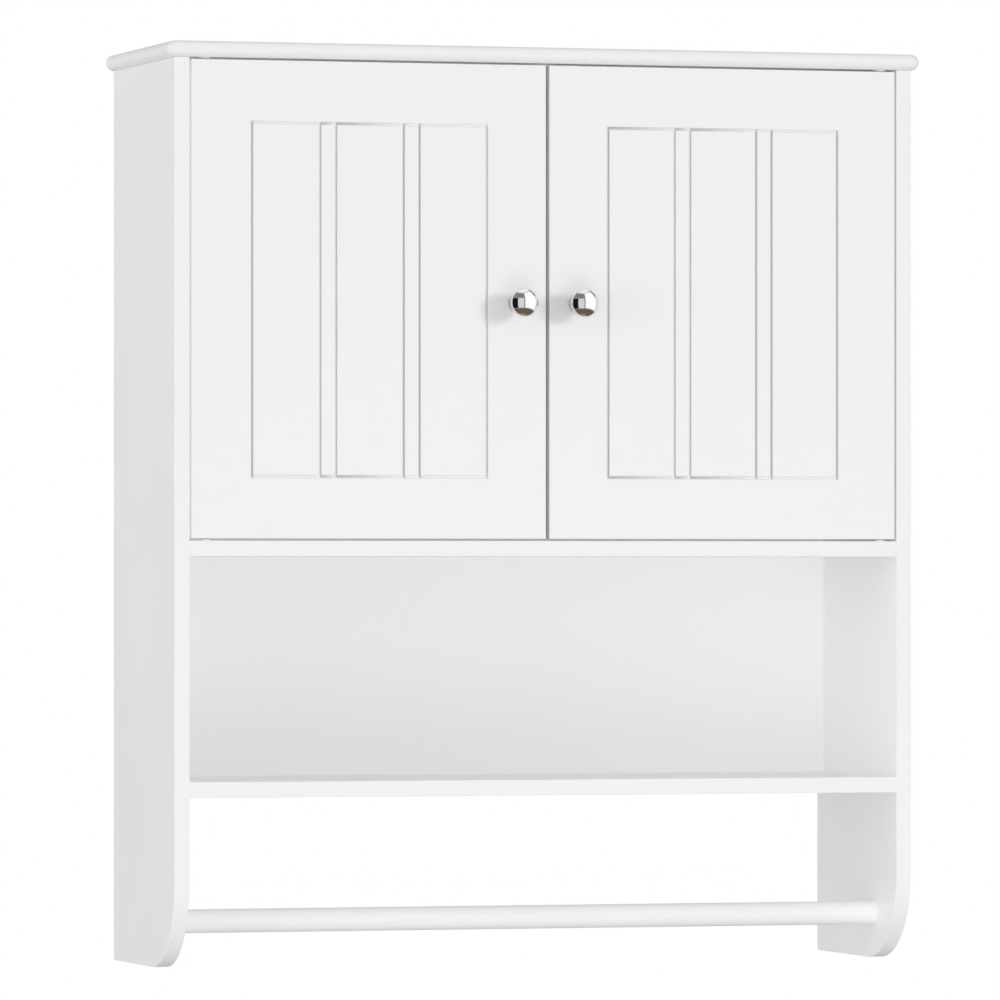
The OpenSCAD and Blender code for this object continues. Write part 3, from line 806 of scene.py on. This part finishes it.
def makeKnob(name, body):
    low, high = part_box(name)
    x, z = (low.x + high.x) / 2, (low.z + high.z) / 2
    bm = bmesh.new()
    rings = []
    for radius, height in knobOutline(high.x - low.x):
        centre = (x, high.y - height, z)
        tip = radius < 1e-6
        rings.append([bm.verts.new(centre)] if tip else ringAt(bm, centre, 1, radius, knob["sides"]))
    joinRings(bm, rings)
    mesh = meshFrom(bm, name)
    return finishPiece(name + "_polished", mesh, body, "polished_chrome", name, softAngle=50.0)


knobs = [makeKnob("knob_left", "left_door"), makeKnob("knob_right", "right_door")]
print("knobs made")


# hardware keeps its own parts and takes a finish

hardware = {
    "knob_screw_left": "zinc_steel", "knob_screw_right": "zinc_steel",
    "pivot_pins_left": "zinc_steel", "pivot_pins_right": "zinc_steel",
    "pivot_bushes": "white_plastic", "catch_housing": "white_plastic", "catch_magnets": "magnet",
    "catch_screws": "zinc_steel", "strike_plate_left": "zinc_steel", "strike_plate_right": "zinc_steel",
    "strike_screw_left": "zinc_steel", "strike_screw_right": "zinc_steel", "shelf_pins": "zinc_steel",
    "cam_locks": "cam_zinc", "cam_bolts": "zinc_steel", "dowels": "dowel_wood",
    "back_panel_screws": "zinc_steel",
}
for node, slot in hardware.items():
    nodes[node].data.materials.clear()
    nodes[node].data.materials.append(finishes[slot])
print("hardware finished:", len(hardware))


# studio

studio = {
    "floorDrop": 0.8, "floorRadius": 3.2, "floorSides": 128, "floorTone": 0.92, "floorRoughness": 0.9,
    "ambient": 0.54, "leftGlow": 0.92, "leftFrom": (-0.981, -0.196, 0.0), "glowTightness": 4.0,
    "keyFrom": (0.9, -1.0, 0.25), "keySpread": 16.0, "keyStrength": 0.95,
    "lowPlace": (0.0, -1.8, -1.2), "lowSize": 0.9, "lowPower": 3.8,
    "sideFrom": (-1.0, -0.25, 0.0), "sideSpread": 30.0, "sideStrength": 0.48,
}

# what the polished knobs see: compass angle in degrees from straight ahead, height from -1 to 1
room = {
    "soft": 0.05, "wall": 0.78, "ceiling": 0.24, "ceilingFrom": 0.46, "lamp": 1.0, "lampFrom": 0.88,
    "window": 1.2, "windowLeft": 4.0, "windowRight": 78.0, "windowLow": -0.50, "windowHigh": 0.86,
    "post": 0.18, "postLeft": -3.0, "postRight": 4.0,
    "doorway": 0.01, "doorwayLeft": -98.0, "doorwayRight": -42.0,
    "doorwayLow": -0.56, "doorwayHigh": 0.46,
    "boards": (0.16, 0.115, 0.085, 1.0), "boardsFrom": 0.56,
    "rug": (0.33, 0.32, 0.26, 1.0), "rugFrom": 0.955,
    "backWall": 0.10, "backFrom": 100.0,
}


def makeFloor():
    low, high = cadBox
    bm = bmesh.new()
    bmesh.ops.create_circle(bm, cap_ends=True, segments=studio["floorSides"],
                            radius=studio["floorRadius"])
    bmesh.ops.translate(bm, verts=bm.verts, vec=(0, 0, low.z - studio["floorDrop"]))
    floor = bpy.data.objects.new("floor", meshFrom(bm, "floor"))
    bpy.context.scene.collection.objects.link(floor)
    material = bpy.data.materials.new("paleFloor")
    material.use_nodes = True
    shader = material.node_tree.nodes["Principled BSDF"]
    shader.inputs["Base Color"].default_value = grey(studio["floorTone"])
    shader.inputs["Roughness"].default_value = studio["floorRoughness"]
    floor.data.materials.append(material)
    floor.visible_glossy = False


def mathOf(tree, operation, first, second=None):
    node = addNode(tree, "ShaderNodeMath", operation=operation)
    for place, value in enumerate((first, second)):
        if isinstance(value, (int, float)):
            node.inputs[place].default_value = value
        elif value is not None:
            tree.links.new(value, node.inputs[place])
    return node.outputs[0]


def softStep(tree, value, edge):
    node = addNode(tree, "ShaderNodeMapRange", interpolation_type="SMOOTHSTEP")
    node.inputs["From Min"].default_value = edge - room["soft"]
    node.inputs["From Max"].default_value = edge + room["soft"]
    tree.links.new(value, node.inputs["Value"])
    return node.outputs["Result"]


def bandOf(tree, value, low, high):
    return mathOf(tree, "SUBTRACT", softStep(tree, value, low), softStep(tree, value, high))


def roomColour(tree, direction):
    split = tree.nodes.new("ShaderNodeSeparateXYZ")
    tree.links.new(direction, split.inputs[0])
    height = split.outputs["Z"]
    ahead = mathOf(tree, "MULTIPLY", split.outputs["Y"], -1.0)
    compass = mathOf(tree, "ARCTAN2", split.outputs["X"], ahead)
    turn = math.radians

    def patch(name):
        across = bandOf(tree, compass, turn(room[name + "Left"]), turn(room[name + "Right"]))
        upDown = bandOf(tree, height, room[name + "Low"], room[name + "High"])
        return mathOf(tree, "MULTIPLY", across, upDown)

    behind = softStep(tree, mathOf(tree, "ABSOLUTE", compass), turn(room["backFrom"]))
    below = mathOf(tree, "MULTIPLY", height, -1.0)
    post = bandOf(tree, compass, turn(room["postLeft"]), turn(room["postRight"]))
    colour = layOver(tree, grey(room["wall"]), behind, grey(room["backWall"]))
    colour = layOver(tree, colour, patch("doorway"), grey(room["doorway"]))
    colour = layOver(tree, colour, post, grey(room["post"]))
    colour = layOver(tree, colour, softStep(tree, height, room["ceilingFrom"]), grey(room["ceiling"]))
    colour = layOver(tree, colour, softStep(tree, below, room["boardsFrom"]), room["boards"])
    colour = layOver(tree, colour, softStep(tree, below, room["rugFrom"]), room["rug"])
    colour = layOver(tree, colour, softStep(tree, height, room["lampFrom"]), grey(room["lamp"]))
    return layOver(tree, colour, patch("window"), grey(room["window"]))


def makeWorld():
    world = bpy.data.worlds.new("softStudio")
    bpy.context.scene.world = world
    world.use_nodes = True
    tree = world.node_tree
    tree.nodes.clear()
    link = tree.links.new
    coord = tree.nodes.new("ShaderNodeTexCoord")
    dot = addNode(tree, "ShaderNodeVectorMath", operation="DOT_PRODUCT")
    dot.inputs[1].default_value = studio["leftFrom"]
    link(coord.outputs["Generated"], dot.inputs[0])
    facing = mathOf(tree, "MAXIMUM", dot.outputs["Value"], 0.0)
    glow = mathOf(tree, "POWER", facing, studio["glowTightness"])
    glow = mathOf(tree, "MULTIPLY", glow, studio["leftGlow"])
    strength = mathOf(tree, "ADD", glow, studio["ambient"])
    light = tree.nodes.new("ShaderNodeBackground")
    light.inputs["Color"].default_value = grey(1.0)
    link(strength, light.inputs["Strength"])
    mirrored = tree.nodes.new("ShaderNodeBackground")
    link(roomColour(tree, coord.outputs["Generated"]), mirrored.inputs["Color"])
    white = tree.nodes.new("ShaderNodeBackground")
    white.inputs["Color"].default_value = grey(1.0)
    path = tree.nodes.new("ShaderNodeLightPath")
    sharp = tree.nodes.new("ShaderNodeMixShader")
    mix = tree.nodes.new("ShaderNodeMixShader")
    out = tree.nodes.new("ShaderNodeOutputWorld")
    link(path.outputs["Is Glossy Ray"], sharp.inputs["Fac"])
    link(light.outputs[0], sharp.inputs[1])
    link(mirrored.outputs[0], sharp.inputs[2])
    link(path.outputs["Is Camera Ray"], mix.inputs["Fac"])
    link(sharp.outputs[0], mix.inputs[1])
    link(white.outputs[0], mix.inputs[2])
    link(mix.outputs[0], out.inputs["Surface"])


def addLight(name, data, place, towards):
    light = bpy.data.objects.new(name, data)
    bpy.context.scene.collection.objects.link(light)
    light.location = place
    light.visible_glossy = False
    light.rotation_euler = towards.to_track_quat("-Z", "Y").to_euler()
    return light


def groupPieces(name, pieces):
    group = bpy.data.collections.new(name)
    for piece in pieces:
        group.objects.link(piece)
    return group


def addSun(name, look, lit, shading):
    data = bpy.data.lights.new(name, "SUN")
    data.energy = studio[look + "Strength"]
    data.angle = math.radians(studio[look + "Spread"])
    towards = -Vector(studio[look + "From"])
    light = addLight(name, data, studio[look + "From"], towards)
    light.light_linking.blocker_collection = shading
    if lit:
        light.light_linking.receiver_collection = lit


def makeLights():
    # the doors and knobs shade each other; the boards let the key through, so the open bay stays bright
    front = knobs + doors
    rest = [p for p in bpy.context.scene.objects if p.type == "MESH" and p not in front]
    frontPieces, restPieces = groupPieces("frontPieces", front), groupPieces("restPieces", rest)
    addSun("doorKey", "key", frontPieces, frontPieces)
    addSun("boardKey", "key", restPieces, groupPieces("knobShades", knobs))
    addSun("sideLight", "side", None, frontPieces)
    data = bpy.data.lights.new("lowLight", "AREA")
    data.shape = "SQUARE"
    data.size = studio["lowSize"]
    data.energy = studio["lowPower"]
    place = Vector(studio["lowPlace"])
    addLight("lowLight", data, place, (cadBox[0] + cadBox[1]) / 2 - place)


shot = {"lens": 292.9, "sensor": 36.0, "turnLeft": 16.873, "distance": 6.1195, "aimAcross": 0.2449,
        "heightOverFeet": 0.299, "lift": 0.0736, "clipEnd": 200.0}


def makeCamera():
    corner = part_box("side_panel_left")[0]
    turn = math.radians(shot["turnLeft"])
    ahead = Vector((math.sin(turn), math.cos(turn), 0))
    right = Vector((math.cos(turn), -math.sin(turn), 0))
    data = bpy.data.cameras.new("camera")
    data.sensor_width = shot["sensor"]
    data.lens = shot["lens"]
    data.shift_y = shot["lift"]
    data.clip_end = shot["clipEnd"]
    camera = bpy.data.objects.new("camera", data)
    bpy.context.scene.collection.objects.link(camera)
    camera.location = corner + right * shot["aimAcross"] - ahead * shot["distance"]
    camera.location.z = corner.z + shot["heightOverFeet"]
    camera.rotation_euler = (math.pi / 2, 0, -turn)
    bpy.context.scene.camera = camera


makeFloor()
makeWorld()
makeLights()
makeCamera()
bpy.context.scene.view_settings.view_transform = "Standard"
print("studio made")
